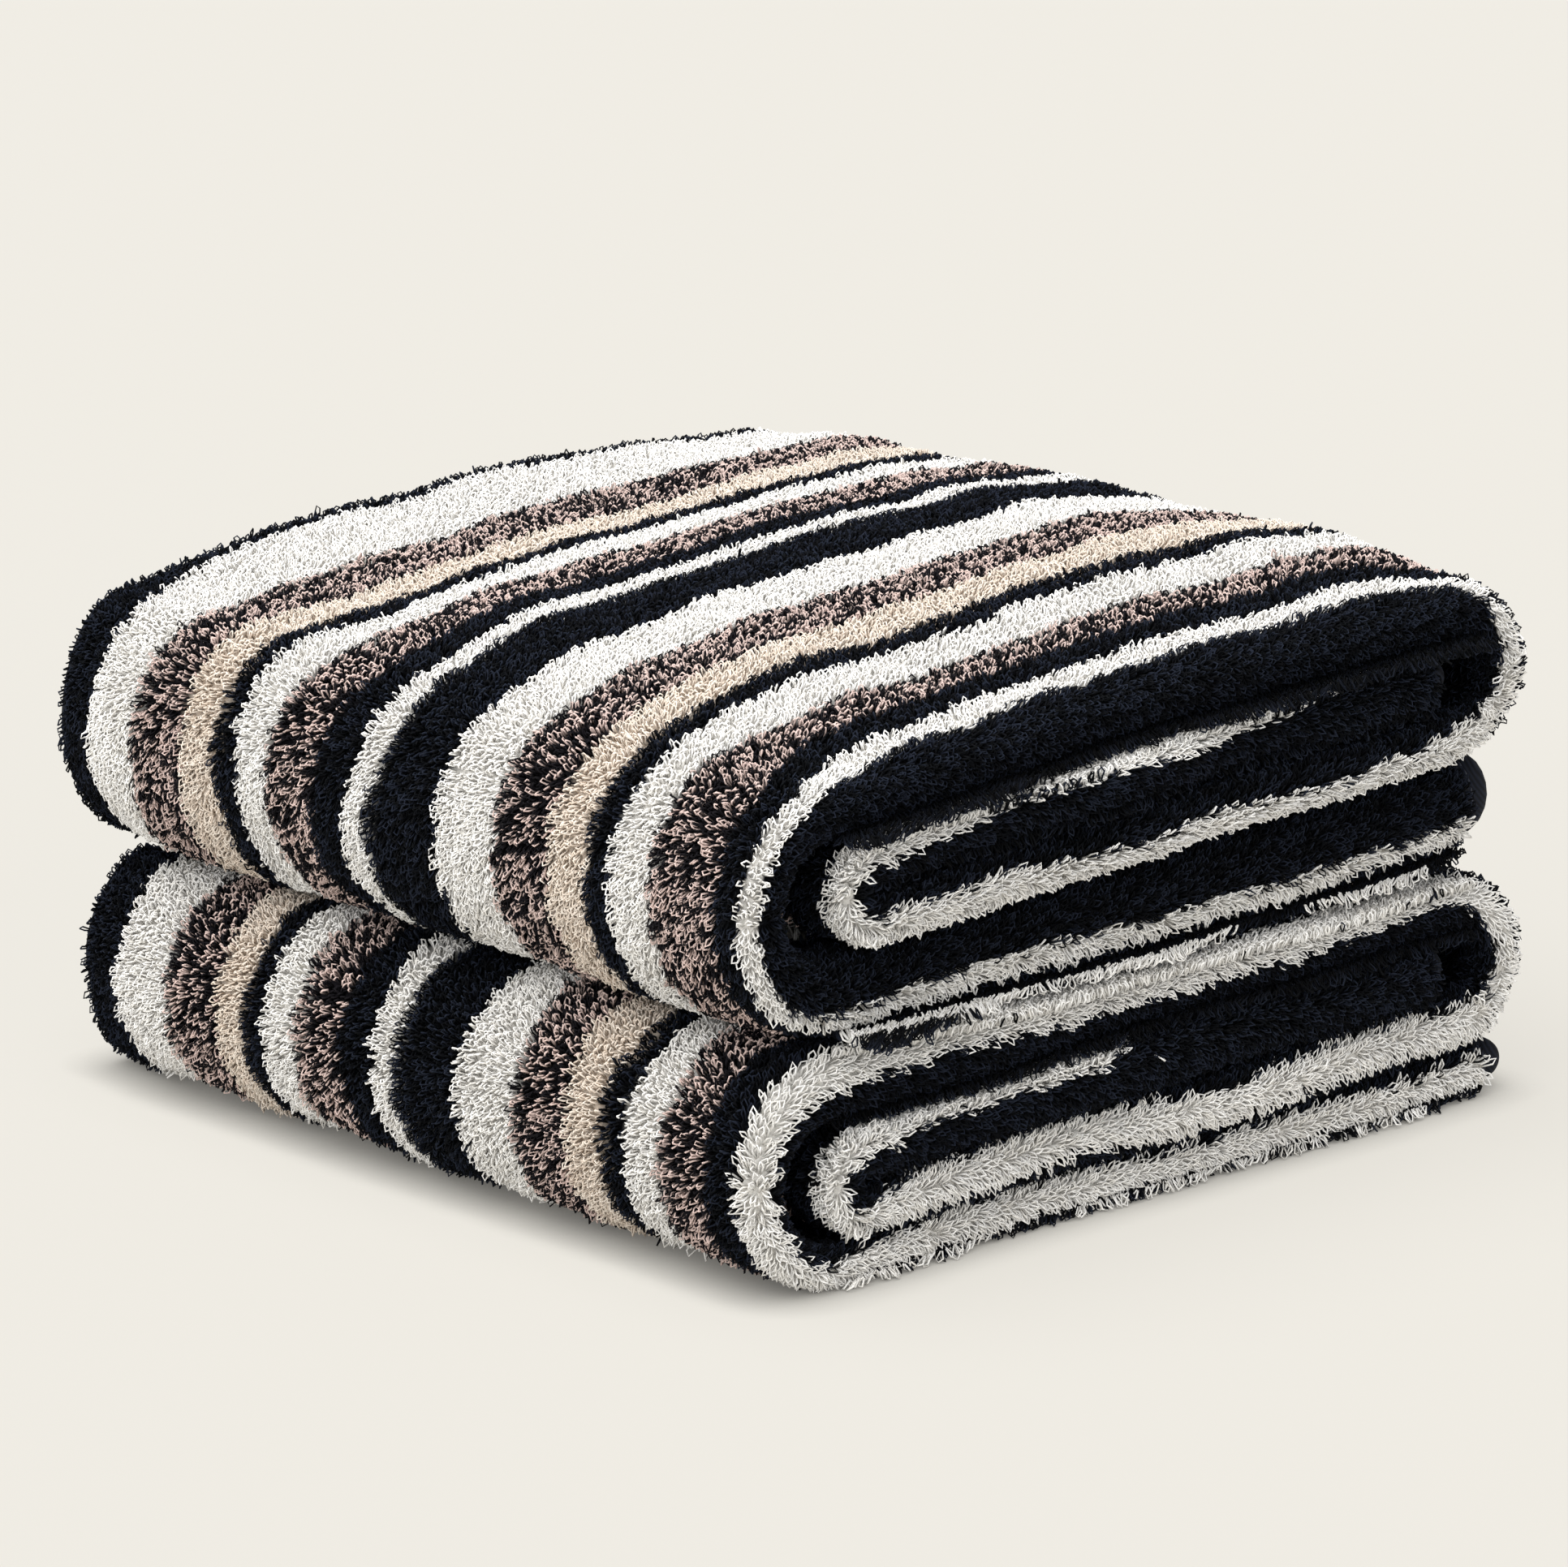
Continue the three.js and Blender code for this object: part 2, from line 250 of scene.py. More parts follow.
def waves(seed, wavelength, count=7):
    """A smooth, seeded noise over two lengths, with a spread of about 1."""
    rng = np.random.default_rng(seed)
    angle, phase = rng.uniform(0, 2 * math.pi, (2, count))
    scale = 2 * math.pi / (wavelength * rng.uniform(0.65, 1.6, count))

    def noise(a, b):
        total = 0
        for turn, shift, k in zip(angle, phase, scale):
            total = total + np.sin(k * (a * math.cos(turn) + b * math.sin(turn)) + shift)
        return total / math.sqrt(count / 2)

    return noise


# ------------ the path of each cloth


def level_at(heights, y):
    """A level's height at y, on a smooth curve through its three given heights."""
    front, middle, back = heights
    u = np.asarray(y, float) / LEVEL_SPAN
    return middle + (back - front) / 2 * u + ((front + back) / 2 - middle) * u * u


def panel_rows(y0, y1, outer_level, inner_level, crowned=0.0):
    """Rows of (outer y, outer z, inner y, inner z, share of the crown) along a panel."""
    y = np.linspace(y0, y1, max(2, round(abs(y1 - y0) / PATH_STEP)))
    outer, inner = level_at(outer_level, y), level_at(inner_level, y)
    trim = np.sign(inner - outer) * LAYER_GAP / 2
    return np.stack([y, outer + trim, y, inner - trim, np.full_like(y, crowned)], axis=1)


def fold_rows(y, side, reach, inner_reach, outer, inner, upwards, is_top=False):
    """Rows round a half-turn fold that bulges to side (-1 front, +1 back)."""
    count = max(FEWEST_FOLD_ROWS, round((outer[1] - outer[0] + reach) / PATH_STEP))
    angle = np.linspace(-math.pi / 2, math.pi / 2, count) * (1 if upwards else -1)
    across, rise = side * np.cos(angle), np.sin(angle)
    return np.stack([
        y + across * reach, sum(outer) / 2 + (outer[1] - outer[0]) / 2 * rise,
        y + across * inner_reach, sum(inner) / 2 + (inner[1] - inner[0]) / 2 * rise,
        np.maximum(0, rise) if is_top else 0 * rise,
    ], axis=1)


def towel_path(t):
    """The whole way along a doubled cloth: its rows, and where each region starts."""
    half = LAYER_GAP / 2

    def levels(low, high, y):
        return level_at(t[low], y), level_at(t[high], y)

    def inset(pair):
        return pair[0] + half, pair[1] - half

    front_y, back_y, tight_y = t["front_y"], t["back_y"], t["tight_y"]
    core = float(level_at(t["core_under"], tight_y))
    parts = [
        panel_rows(t["bottom_end"] - END_HEM_WIDTH, front_y, t["underside"], t["lining_under"]),
        fold_rows(
            front_y, -1, t["front_reach"], t["front_inner_reach"],
            inset(levels("underside", "top", front_y)),
            levels("lining_under", "top_under", front_y), True, True,
        ),
        panel_rows(front_y, back_y, t["top"], t["top_under"], 1.0),
        fold_rows(
            back_y, 1, t["back_reach"], t["back_inner_reach"],
            inset(levels("lining_under", "top", back_y)),
            levels("core_under", "top_under", back_y), False, True,
        ),
        panel_rows(back_y, tight_y, t["lining_under"], t["core_under"]),
        fold_rows(
            tight_y, -1, t["tight_reach"], half,
            inset(levels("lining_under", "top_under", tight_y)), (core - half, core + half), True,
        ),
        panel_rows(tight_y, t["core_end"] - END_HEM_WIDTH, t["top_under"], t["core_under"]),
    ]
    starts = np.cumsum([0] + [len(p) for p in parts])
    spans = {name: (starts[i], starts[i + 1] - 1) for i, name in enumerate(REGIONS)}
    return np.concatenate(parts), spans


def running_length(line):
    """How far along a line each of its points lies."""
    return np.concatenate([[0], np.cumsum(np.linalg.norm(np.diff(line, axis=0), axis=1))])


def lengths_along(rows, face):
    """Running length along the outer side, inner side or middle of the layer."""
    outer, inner = rows[:, 0:2], rows[:, 2:4]
    return running_length({"outer": outer, "inner": inner, "edge": (outer + inner) / 2}[face])


class Cloth:
    """Places points on the doubled, rolled cloth of one towel."""

    def __init__(self, name):
        self.name = name
        self.size = TOWELS[name]
        self.rows, self.spans = towel_path(self.size)
        self.row_numbers = np.arange(len(self.rows))
        self.middle = lengths_along(self.rows, "edge")
        seed = self.size["seed"]
        self.swell = waves(seed, wavelength=70)
        self.crease = waves(seed + 1, wavelength=26)
        self.edge_drift = waves(seed + 2, wavelength=120)
        self.stripe_drift = waves(seed + 3, wavelength=110)
        self.stripe_ripple = waves(seed + 4, wavelength=28)
        self.combing = waves(seed + 5, wavelength=38)
        self.open_x = self.size["open_edge"] + SIDE_HEM_WIDTH
        self.shape = {
            kind: self.blend_regions(values) for kind, values in REGION_SHAPE[name].items()
        }
        core = self.row_numbers >= self.spans["core_panel"][0]
        self.shape["line_hidden"] = smoothstep(*LINE_HIDDEN[name], self.rows[:, 0]) * core

    def blend_regions(self, values):
        """A value for each row from one or more per region, blended where regions meet."""
        steps = []
        for value, (first, last) in zip(values, self.spans.values()):
            places = np.linspace(0, 1, np.size(value))
            rows = np.linspace(0, 1, last - first + 1)
            steps.append(np.interp(rows, places, np.atleast_1d(value)))
        padded = np.pad(np.concatenate(steps), BLEND_ROWS // 2, mode="edge")
        return np.convolve(padded, np.full(BLEND_ROWS, 1 / BLEND_ROWS), mode="valid")

    def region_value(self, kind, q):
        """One of the values of REGION_SHAPE at path positions q."""
        return np.interp(q, self.row_numbers, self.shape[kind])

    def along(self, q):
        """Running length down the middle of the layer at path positions q."""
        return np.interp(q, self.row_numbers, self.middle)

    def at(self, q):
        """Outer point, inner point and crown share at path positions q."""
        columns = [np.interp(q, self.row_numbers, self.rows[:, k]) for k in range(5)]
        return np.stack(columns[0:2], -1), np.stack(columns[2:4], -1), columns[4]

    def half_thickness(self, q):
        outer, inner, _ = self.at(q)
        return np.linalg.norm(outer - inner, axis=-1) / 2

    def bend_x(self, q):
        """Where the doubled edge starts to turn."""
        drift = EDGE_DRIFT * self.edge_drift(self.along(q), 0)
        out = self.region_value("edge_out", q) + drift - EDGE_INSET
        return self.size["doubled_edge"] - self.half_thickness(q) + out

    def place(self, q, x, turn, depth=0.0):
        """Points on the layer's skin, sunk by depth, with their normals and two tangents.

        q is the position along the path, in rows. turn is 0 on the outer ply and pi on the
        inner ply, and between them round the doubled edge, where x stays at bend_x.
        """
        q, x, turn, depth = np.broadcast_arrays(q, x, turn, depth)
        outer, inner, crowned = self.at(q)
        ahead, _, _ = self.at(np.minimum(q + 0.5, len(self.rows) - 1))
        behind, _, _ = self.at(np.maximum(q - 0.5, 0))
        thick = np.linalg.norm(outer - inner, axis=-1)
        out = (outer - inner) / thick[..., None]
        side = np.sin(turn)
        level = np.cos(turn)
        along = self.along(q)
        drop = self.drop(q, x, outer[..., 0]) * crowned * np.maximum(0, level)
        loose = self.region_value("slack", q) * np.maximum(0, level) + EDGE_SLACK * side
        puff = loose * (SWELL * self.swell(x, along) + CREASE * self.crease(x, along))
        reach = thick / 2 - depth + puff
        offset = reach * level - drop
        middle = (outer + inner) / 2
        y = middle[..., 0] + out[..., 0] * offset
        past_front = np.minimum(0, y - self.size["front_y"])
        y = y - past_front * CORNER_RETREAT * fade(CORNER_FADE, x, self.open_x)
        points = np.stack([x + reach * side, y, middle[..., 1] + out[..., 1] * offset], -1)
        normal = np.stack([side, level * out[..., 0], level * out[..., 1]], -1)
        lengthwise = unit(np.concatenate([np.zeros(q.shape + (1,)), ahead - behind], -1))
        crosswise = np.cross(normal, lengthwise)
        return points, normal, lengthwise, crosswise

    def drop(self, q, x, y):
        """How far the top lies below its level: less than nothing where it bulges."""
        bend = self.bend_x(q)
        open_side = fade((0, DROP_REACH), x, self.open_x)
        doubled_side = smoothstep(bend - DROP_REACH, bend, x)
        (rise, fall), (front, back) = BULGE_ACROSS, BULGE_ALONG
        middle = smoothstep(*rise, x) * fade(fall, x, bend)
        plump = smoothstep(*front, y) * fade(back, y)
        return (
            level_at(self.size["open_drop"], y) * open_side
            + level_at(self.size["doubled_drop"], y) * doubled_side
            - self.size["bulge"] * middle * plump
        )

    def cloth_x(self, q, x, turn):
        """How far across the flat cloth a point is, on the scale of the outer ply's x."""
        radius = self.half_thickness(q)
        bend = self.bend_x(q)
        round_edge = bend + radius * turn
        past = bend + math.pi * radius + (bend - x)
        return np.where(turn <= 0, x, np.where(turn >= math.pi, past, round_edge))

    def line_c(self):
        """Where across the flat cloth the white line on the doubled edge lies."""
        return self.size["stripe_start"] + self.size["stripe_scale"] * (STRIPE_REPEAT + WHITE_LINE)

    def beside_line(self, q, x, turn):
        """How far across the flat cloth each point lies past the white line."""
        return self.cloth_x(q, x, turn) - self.line_c() - self.region_value("line_shift", q)

    def yarn(self, q, x, turn, ragged=0.0):
        """Index into YARNS of the stripe at each point. The stripes wander a little.

        c is the place across the flat cloth where the stripe at each point is looked up.
        """
        c = self.cloth_x(q, x, turn)
        top_first, top_last = self.spans["top_panel"]
        skew = self.size["skew"] * smoothstep(top_first, top_last, q)
        c = c + skew * fade(SKEW_FADE, c)
        c = c + self.region_value("tuck", q) * fade(TUCK_FADE, c, self.size["open_edge"])
        line = self.line_c()
        beside = c - line - self.region_value("line_shift", q)
        narrowed = line + beside / self.region_value("line_wide", q)
        c = c + (narrowed - c) * np.exp(-((beside / LINE_WINDOW) ** 4))
        c = c - NAVY_EXTRA * smoothstep(*NAVY_STRETCH, c)
        along = self.along(q)
        drift = STRIPE_DRIFT * self.stripe_drift(along, c * 0.5)
        c = c + drift + STRIPE_RIPPLE * self.stripe_ripple(along, c)
        c = ((c + ragged - self.size["stripe_start"]) / self.size["stripe_scale"]) % STRIPE_REPEAT
        edges = np.cumsum([width for _, width in STRIPES])
        kinds = np.array([YARNS.index(name) for name, _ in STRIPES])
        yarn = kinds[np.minimum(np.searchsorted(edges, c), len(STRIPES) - 1)]
        last_shown = LINE_REACH - 2 * LINE_REACH * self.region_value("line_hidden", q)
        turned_in = (beside + ragged > last_shown) & (np.abs(beside) < LINE_REACH)
        return np.where(turned_in, YARNS.index("navy"), yarn)


# ------------ mesh building


def mesh_object(name, points, triangles, material, colours=None, uvs=None):
    """A mesh piece from points in millimetres. colours are linear RGB per point."""
    mesh = bpy.data.meshes.new(name)
    mesh.materials.append(material)
    count = len(triangles)
    mesh.vertices.add(len(points))
    mesh.vertices.foreach_set("co", (np.asarray(points) * MM).astype(np.float32).ravel())
    mesh.loops.add(count * 3)
    mesh.loops.foreach_set("vertex_index", triangles.astype(np.int32).ravel())
    mesh.polygons.add(count)
    mesh.polygons.foreach_set("loop_start", np.arange(0, count * 3, 3, dtype=np.int32))
    mesh.update(calc_edges=True)
    mesh.polygons.foreach_set("use_smooth", np.full(count, True))
    if colours is not None:
        layer = mesh.color_attributes.new("yarn_colour", "FLOAT_COLOR", "POINT")
        rgba = np.concatenate([colours, np.ones((len(colours), 1))], axis=1)
        layer.data.foreach_set("color", rgba.astype(np.float32).ravel())
    if uvs is not None:
        mesh.uv_layers.new(name="OFBake")
        mesh.uv_layers["OFBake"].data.foreach_set("uv", uvs.astype(np.float32).ravel())
    obj = bpy.data.objects.new(name, mesh)
    bpy.context.scene.collection.objects.link(obj)
    return obj


def quads_to_triangles(quads):
    """Each quad cut in two along its diagonal."""
    quads = quads.reshape(-1, 4)
    return np.concatenate([quads[:, [0, 1, 2]], quads[:, [0, 2, 3]]])


def point_numbers(rows, columns):
    return np.arange(rows * columns).reshape(rows, columns)


def grid_quads(index):
    """Quads between the rows and columns of an index grid."""
    corners = [index[:-1, :-1], index[1:, :-1], index[1:, 1:], index[:-1, 1:]]
    return np.stack(corners, -1).reshape(-1, 4)


def slab(name, outside, inside, colours, material):
    """A closed thin sheet between two grids of points, each rows by columns by 3."""
    rows, columns = outside.shape[:2]
    top = point_numbers(rows, columns)
    under = top + rows * columns
    quads = [grid_quads(top), grid_quads(under)[:, ::-1]]
    rim = np.concatenate([top[0, :], top[1:, -1], top[-1, -2::-1], top[-2:0:-1, 0]])
    low = np.concatenate([under[0, :], under[1:, -1], under[-1, -2::-1], under[-2:0:-1, 0]])
    quads.append(np.stack([rim, np.roll(rim, -1), np.roll(low, -1), low], -1))
    points = np.concatenate([outside.reshape(-1, 3), inside.reshape(-1, 3)])
    triangles = quads_to_triangles(np.concatenate(quads))
    return mesh_object(name, points, triangles, material, np.concatenate([colours, colours]))


def tube_triangles(index, reverse=False):
    """Triangles of a tube through rows of point numbers, each row a ring, with flat ends."""
    wrapped = np.concatenate([index, index[:, :1]], axis=1)
    quads = grid_quads(wrapped)
    triangles = [quads_to_triangles(quads[:, ::-1] if reverse else quads)]
    for ring, flip in ((index[0], 1), (index[-1], -1)):
        fan = [(ring[0], ring[k], ring[k + 1])[::flip] for k in range(1, len(ring) - 1)]
        triangles.append(np.array(fan))
    return np.concatenate(triangles)


def swept(name, rings, material):
    """A closed bar through rings of points, each row a ring."""
    triangles = tube_triangles(point_numbers(*rings.shape[:2]), reverse=True)
    return mesh_object(name, rings.reshape(-1, 3), triangles, material)


# ------------ the loops


def loop_mesh(roots, normal, lean, side, rise, length, width, radius, rings):
    """Yarn loops as three-sided tubes. Returns points per loop and one loop's triangles.

    Each rises by rise along normal, leans by length along lean, and opens by width along
    side. The powers make it rise steeply and lean only near its tip.
    """
    t = np.linspace(0, 1, rings)
    t = 0.5 + (t - 0.5) * (1.12 - 0.48 * (t - 0.5) ** 2)  # spreads the sections about the tip
    up = np.sin(math.pi * t) ** 0.7
    out = np.sin(math.pi * t) ** 1.3
    over = 0.5 * np.sin(2 * math.pi * t) + 0.15 * np.cos(math.pi * t)
    centre = (
        roots[:, None] + normal[:, None] * (rise[:, None] * up)[..., None]
        + lean[:, None] * (length[:, None] * out)[..., None]
        + side[:, None] * (width[:, None] * over)[..., None]
    )
    tangent = unit(np.gradient(centre, axis=1))
    plane = unit(np.cross(side, lean * length[:, None] + normal * rise[:, None]))
    plane = np.broadcast_to(plane[:, None], tangent.shape)
    second = unit(np.cross(tangent, plane))
    angles = 2 * math.pi * np.arange(3) / 3
    ring = (
        plane[:, :, None] * np.cos(angles)[:, None]
        + second[:, :, None] * np.sin(angles)[:, None]
    )
    points = centre[:, :, None] + ring * radius[:, None, None, None]
    return points.reshape(len(roots), -1, 3), tube_triangles(point_numbers(rings, 3))


def cell_uvs(count, rings, triangles):
    """Lays each loop out in its own small square of the map, with a margin round it."""
    margin = 0.08
    across = math.ceil(math.sqrt(count))
    cell = np.stack([np.arange(count) % across, np.arange(count) // across], -1)
    ring, corner = triangles // 3, triangles % 3
    corner = np.where((corner == 0) & (corner.max(1, keepdims=True) == 2), 3, corner)
    inside = np.stack([ring / (rings - 1), corner / 3], -1) * (1 - 2 * margin) + margin
    return (cell[:, None, None] + inside[None]) / across


def scatter(rng, long, wide, density):
    """Jittered points over a long by wide strip, as two arrays of lengths."""
    pitch = 1 / math.sqrt(density)
    rows, columns = max(1, round(long / pitch)), max(1, round(wide / pitch))
    i, j = np.meshgrid(np.arange(rows), np.arange(columns), indexing="ij")
    a = (i + 0.5 + rng.uniform(-JITTER, JITTER, i.shape)) / rows
    b = (j + 0.25 + 0.5 * (i % 2) + rng.uniform(-JITTER, JITTER, j.shape)) / columns
    return a.ravel() * long, np.clip(b.ravel(), 0, 1) * wide


def pile_patch(cloth, region, seed, face, density, rings, inside=False, band=None, start=None):
    """The loops of one face of one region, as arrays.

    inside puts them between the plies. band keeps only part of the face's width, and start
    only the first part of its length.
    """
    rng = np.random.default_rng([cloth.size["seed"], REGIONS.index(region), seed])
    first, last = cloth.spans[region]
    rows = cloth.rows[first:last + 1]
    run = lengths_along(rows, face)
    far = min(run[-1], start or run[-1])
    radius = cloth.half_thickness(np.arange(first, last + 1)).mean()
    bend = cloth.bend_x((first + last) / 2)
    low, high = band or (cloth.open_x - PILE_OVER_HEM, bend)
    if face == "edge":
        low, high = 0, math.pi * radius
    along, across = scatter(rng, far, high - low, density)
    q = first + np.interp(along, run, np.arange(len(run)))
    if face == "edge":
        x, turn = cloth.bend_x(q), across / radius
    else:
        x = low + across
        if high >= bend:
            x = low + across * (cloth.bend_x(q) - low) / (bend - low)
        turn = np.full_like(x, 0.0 if face == "outer" else math.pi)
    ragged = rng.normal(0, RAGGED, len(q))
    yarn = cloth.yarn(q, x, turn, ragged)
    depth = PILE_DEPTH + (GROUND_THICKNESS if inside else 0)
    roots, normal, lengthwise, crosswise = cloth.place(q, x, turn, depth + ROOT_SINK)
    if inside:
        normal = -normal
    return {
        "roots": roots, "normal": normal, "lengthwise": lengthwise, "crosswise": crosswise,
        "yarn": yarn, "x": x, "along": along, "rings": rings, "rng": rng, "cloth": cloth,
        "beside": cloth.beside_line(q, x, turn) if face == "edge" else None,
        "fluff": cloth.region_value("fluff", q),
        "coarse": COARSE if rings == PLAIN_RINGS else 1.0,
    }


def comb(patch):
    """Which way each loop leans: down any slope, and with the drift of the pile.

    Round the doubled edge it leans away from the white line and towards the back instead.
    """
    rng, cloth = patch["rng"], patch["cloth"]
    normal = patch["normal"]
    count = len(normal)
    fall = -np.array([0, 0, 1.0]) + normal * normal[:, 2:3]
    shared, own = COMBING
    angle = shared * cloth.combing(patch["x"], patch["along"]) + rng.normal(0, own, count)
    drift = (
        patch["lengthwise"] * np.cos(angle)[:, None] + patch["crosswise"] * np.sin(angle)[:, None]
    )
    if patch["beside"] is None:
        lean = unit(FACE_FALL * fall + drift)
    else:
        parting = np.tanh(patch["beside"] / PARTING)[:, None] * patch["fluff"][:, None]
        backwards = patch["lengthwise"] * np.sign(patch["lengthwise"][:, 1:2])
        apart = parting * patch["crosswise"]
        down, back, away, wander = EDGE_LEAN
        lean = unit(down * fall + back * backwards - away * apart + wander * drift)
    side = np.cross(normal, lean)
    roll = rng.normal(0, ROLL, count)[:, None]
    side = unit(side * np.cos(roll) + normal * np.sin(roll) * ROLL_FLATTENING)
    return lean, side


def loop_colours(patch):
    """The linear colour of each section of each loop, with painted shade that darkens it towards its roots.
    """
    rng = patch["rng"]
    yarn = patch["yarn"]
    count = len(yarn)
    light = np.array([srgb(YARN_COLOURS[name][0]) for name in YARNS])[yarn]
    dark = np.array([srgb(YARN_COLOURS[name][1]) for name in YARNS])[yarn]
    share = np.array([YARN_COLOURS[name][2] for name in YARNS])[yarn]
    colour = np.where((rng.random(count) < share)[:, None], light, dark)
    colour = colour * rng.uniform(*LOOP_SHADES, (count, 1))
    # painted shade: each loop's colour darkens from its tip towards its roots
    tip = np.sin(math.pi * np.linspace(0, 1, patch["rings"]))
    shade = np.array([PAINTED_ROOT_SHADE[name] for name in YARNS])[yarn]
    fade = 1 - shade[:, None] * (1 - tip[None])
    return colour[:, None, :] * fade[:, :, None]


def keep_loops_whole(obj, points_each):
    """Gives every point of a loop the same share of the bend, so that it turns unstretched."""
    share = obj.data.attributes["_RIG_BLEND"].data
    values = np.empty(len(share), np.float32)
    share.foreach_get("value", values)
    whole = values.reshape(-1, points_each).mean(axis=1)
    share.foreach_set("value", np.repeat(whole, points_each))


def loop_sizes(patch):
    """The rise, length, width and yarn radius of each loop."""
    rng, count = patch["rng"], len(patch["roots"])
    upright = np.clip(patch["normal"][:, 2], 0, 1)
    rise = rng.uniform(*LOOP_RISE, count)
    length = rng.uniform(*LOOP_LENGTH, count) * (1 - TOP_LENGTH_LOSS * upright)
    width = rng.uniform(*LOOP_WIDTH, count) * (1 - TOP_WIDTH_LOSS * upright)
    if patch["beside"] is not None:
        near = np.exp(-(patch["beside"] / FRINGE) ** 2) * patch["fluff"]
        rise = rise * (1 + FRINGE_RISE * near)
        always, fluffed, by_line = FRINGE_LENGTHS
        share = always + fluffed * patch["fluff"] + by_line * near
        length = rng.uniform(*EDGE_LENGTH, count) * share
        width = rng.uniform(*EDGE_WIDTH, count)
    stray = rng.random(count) < STRAY_SHARE
    rise = np.where(stray, rise + rng.uniform(*STRAY_RISE, count), rise)
    radius = YARN_RADIUS * patch["coarse"] * rng.uniform(*YARN_UNEVENNESS, count)
    return rise, length * patch["coarse"], width * patch["coarse"], radius


def pile_pieces(cloth, region, patches, material, body_rule):
    """Makes the loops of a region, in pieces of under 200,000 triangles."""
    made = []
    for patch in patches:
        rings = patch["rings"]
        lean, side = comb(patch)
        colour = loop_colours(patch)
        arrays = (patch["roots"], patch["normal"], lean, side, *loop_sizes(patch))
        most = int(MOST_TRIANGLES / (6 * (rings - 1) + 2))
        order = np.argsort(patch["along"], kind="stable")
        for part in np.array_split(order, math.ceil(len(order) / most)):
            points, triangles = loop_mesh(*(values[part] for values in arrays), rings)
            points[..., 2] = np.maximum(points[..., 2], FLOOR_CLEARANCE)
            each = points.shape[1]
            every = (triangles[None] + np.arange(len(part))[:, None, None] * each).reshape(-1, 3)
            name = f"{cloth.name}_{region}_pile_{len(made) + 1}"
            obj = mesh_object(
                name, points.reshape(-1, 3), every, material,
                np.repeat(colour[part].reshape(-1, 3), 3, axis=0),
                cell_uvs(len(part), rings, triangles).reshape(-1, 2),
            )
            body_rule(obj, region)
            if group_of(region) == "front_fold":
                keep_loops_whole(obj, each)
            made.append(obj)
    return made


# ------------ materials


def node_material(name, roughness, specular):
    """A new material of one shader, with its nodes, links and shader to work on."""
    material = bpy.data.materials.new(name)
    material.use_nodes = True
    nodes, links = material.node_tree.nodes, material.node_tree.links
    shader = nodes["Principled BSDF"]
    shader.inputs["Roughness"].default_value = roughness
    shader.inputs["Specular IOR Level"].default_value = specular
    return material, nodes, links, shader


def texture(nodes, links, kind, **values):
    """A procedural texture node, fixed to its piece, with its inputs set."""
    place = nodes.new("ShaderNodeTexCoord")
    node = nodes.new(f"ShaderNodeTex{kind}")
    for name, value in values.items():
        node.inputs[name].default_value = value
    links.new(place.outputs["Object"], node.inputs["Vector"])
    return node


def shaded_yarn(nodes, links, shader, shade):
    """Gives the shader the yarn's colour from its point colours, multiplied by a grey output. On the pile
    these colours also hold painted shade towards the loops' roots.
    """
    colour = nodes.new("ShaderNodeAttribute")
    colour.attribute_name = "yarn_colour"
    mix = nodes.new("ShaderNodeMix")
    mix.data_type = "RGBA"
    mix.blend_type = "MULTIPLY"
    mix.inputs["Factor"].default_value = 1.0
    links.new(colour.outputs["Color"], mix.inputs["A"])
    links.new(shade, mix.inputs["B"])
    links.new(mix.outputs["Result"], shader.inputs["Base Color"])


def two_tone(nodes, links, shader, texture_node, dark, light):
    """Colours the shader from dark to light by a texture's strength."""
    tone = nodes.new("ShaderNodeValToRGB")
    tone.color_ramp.elements[0].color = (*srgb(dark), 1)
    tone.color_ramp.elements[1].color = (*srgb(light), 1)
    links.new(texture_node.outputs["Fac"], tone.inputs["Fac"])
    links.new(tone.outputs["Color"], shader.inputs["Base Color"])


def bumped(nodes, links, shader, height, strength, distance):
    """Adds fine relief to the shader, with distance in metres."""
    bump = nodes.new("ShaderNodeBump")
    bump.inputs["Strength"].default_value = strength
    bump.inputs["Distance"].default_value = distance
    links.new(height, bump.inputs["Height"])
    links.new(bump.outputs["Normal"], shader.inputs["Normal"])


def ranged(nodes, links, value, low, high):
    """An output from 0 to 1 turned into one from low to high."""
    node = nodes.new("ShaderNodeMapRange")
    node.inputs["To Min"].default_value = low
    node.inputs["To Max"].default_value = high
    links.new(value, node.inputs["Value"])
    return node.outputs["Result"]


def pile_material():
    """Dyed cotton yarn: each loop's own colour, with painted shade towards its roots and the slight
    unevenness of spun cotton.
    """
    material, nodes, links, shader = node_material("terry_pile_yarn", roughness=0.92, specular=0.12)
    fibre = texture(nodes, links, "Noise", Scale=900, Detail=1)
    shade = ranged(nodes, links, fibre.outputs["Fac"], low=0.86, high=1.08)
    shaded_yarn(nodes, links, shader, shade)
    return material


def ground_material():
    """The plain weave between the loops, in the stripe's own yarn."""
    material, nodes, links, shader = node_material(
        "terry_ground_weave", roughness=0.95, specular=0.1
    )
    weave = texture(nodes, links, "Voronoi", Scale=700)
    shade = ranged(nodes, links, weave.outputs["Distance"], low=1.0, high=0.6)
    shaded_yarn(nodes, links, shader, shade)
    bumped(nodes, links, shader, weave.outputs["Distance"], strength=0.6, distance=0.0005)
    return material


def hem_material():
    """Flat-woven navy hem: close, slightly uneven diagonal ribs."""
    material, nodes, links, shader = node_material("flat_woven_hem", roughness=0.85, specular=0.2)
    rib = texture(nodes, links, "Wave", Scale=260, Distortion=1.5)
    rib.bands_direction = "DIAGONAL"
    two_tone(nodes, links, shader, rib, dark=(12, 14, 20), light=(27, 31, 42))
    bumped(nodes, links, shader, rib.outputs["Fac"], strength=0.5, distance=0.0004)
    return material


